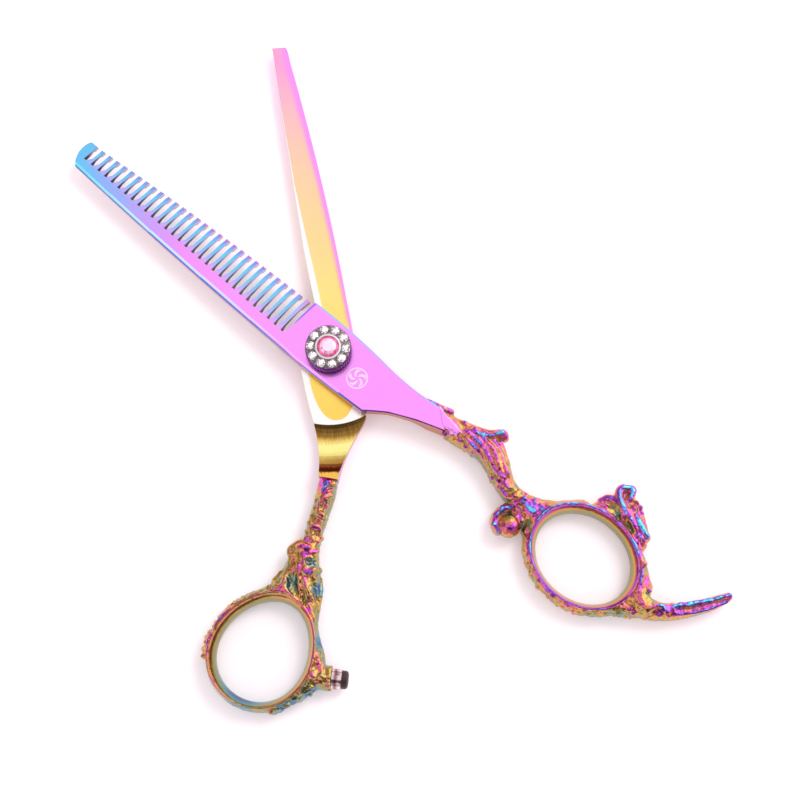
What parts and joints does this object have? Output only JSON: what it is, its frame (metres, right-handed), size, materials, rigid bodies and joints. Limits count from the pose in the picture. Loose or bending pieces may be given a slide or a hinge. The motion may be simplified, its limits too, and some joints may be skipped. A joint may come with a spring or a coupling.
{
  "type": "thinning shears",
  "caption": "Hairdressing thinning shears: a toothed comb blade and a plain blade on a jewelled tension dial, with cast ring handles, finger rest and bumper.",
  "frame": {"origin": "on the pivot axis, at the flat back face of the bolt head, which is also the plane the handles rest on", "axes": "+Z along the pivot axis out of the dial; +Y halves the angle between the two blades and points to their tips; +X towards the side of the straight blade"},
  "size_m": [0.1051, 0.1622, 0.0108],
  "materials": {
    "comb_blade": "titanium-coated steel, pink turning violet and cyan towards the tip",
    "finger_handle": "cast steel with a rainbow titanium coating, purple with gold and cyan",
    "straight_blade": "titanium-coated steel, gold turning peach and pink, bare ride ring",
    "thumb_handle": "cast steel with a rainbow titanium coating, gold and teal with pink",
    "pivot_bolt": "polished",
    "pivot_bushing": "plain",
    "friction_washer": "plain",
    "thrust_washer": "plain",
    "click_spring": "plain",
    "tension_dial": "purple titanium coating, knurled",
    "stone_setting": "polished",
    "center_stone": "faceted pink stone with a pale middle",
    "ring_stones": "faceted clear stones",
    "bumper_ferrule": "polished",
    "bumper_tip": "matt rubber"
  },
  "bodies": {
    "thumb_half": {"straight_blade": "straight_blade", "thumb_handle": "thumb_handle", "pivot_bolt": "pivot_bolt", "thrust_washer": "thrust_washer", "click_spring": "click_spring"},
    "finger_half": {"comb_blade": "comb_blade", "finger_handle": "finger_handle", "pivot_bushing": "pivot_bushing", "friction_washer": "friction_washer"},
    "dial": {"tension_dial": "tension_dial", "stone_setting": "stone_setting", "center_stone": "center_stone", "ring_stones": "ring_stones"},
    "bumper": {"bumper_ferrule": "bumper_ferrule", "bumper_tip": "bumper_tip"}
  },
  "joints": [
    {"name": "blade_pivot", "type": "hinge", "parent": "thumb_half", "child": "finger_half", "pos_m": [0, 0, 0.0034], "axis": [0, 0, 1], "range_deg": [-37.3, 45]},
    {"name": "dial_turn", "type": "hinge", "parent": "thumb_half", "child": "dial", "pos_m": [0, 0, 0.0034], "axis": [0, 0, 1], "range_deg": [-90, 90]},
    {"name": "bumper_turn", "type": "hinge", "parent": "thumb_half", "child": "bumper", "pos_m": [-0.03572, -0.06088, 0.0031], "axis": [0.8002, -0.5997, 0], "range_deg": [-180, 180]}
  ]
}
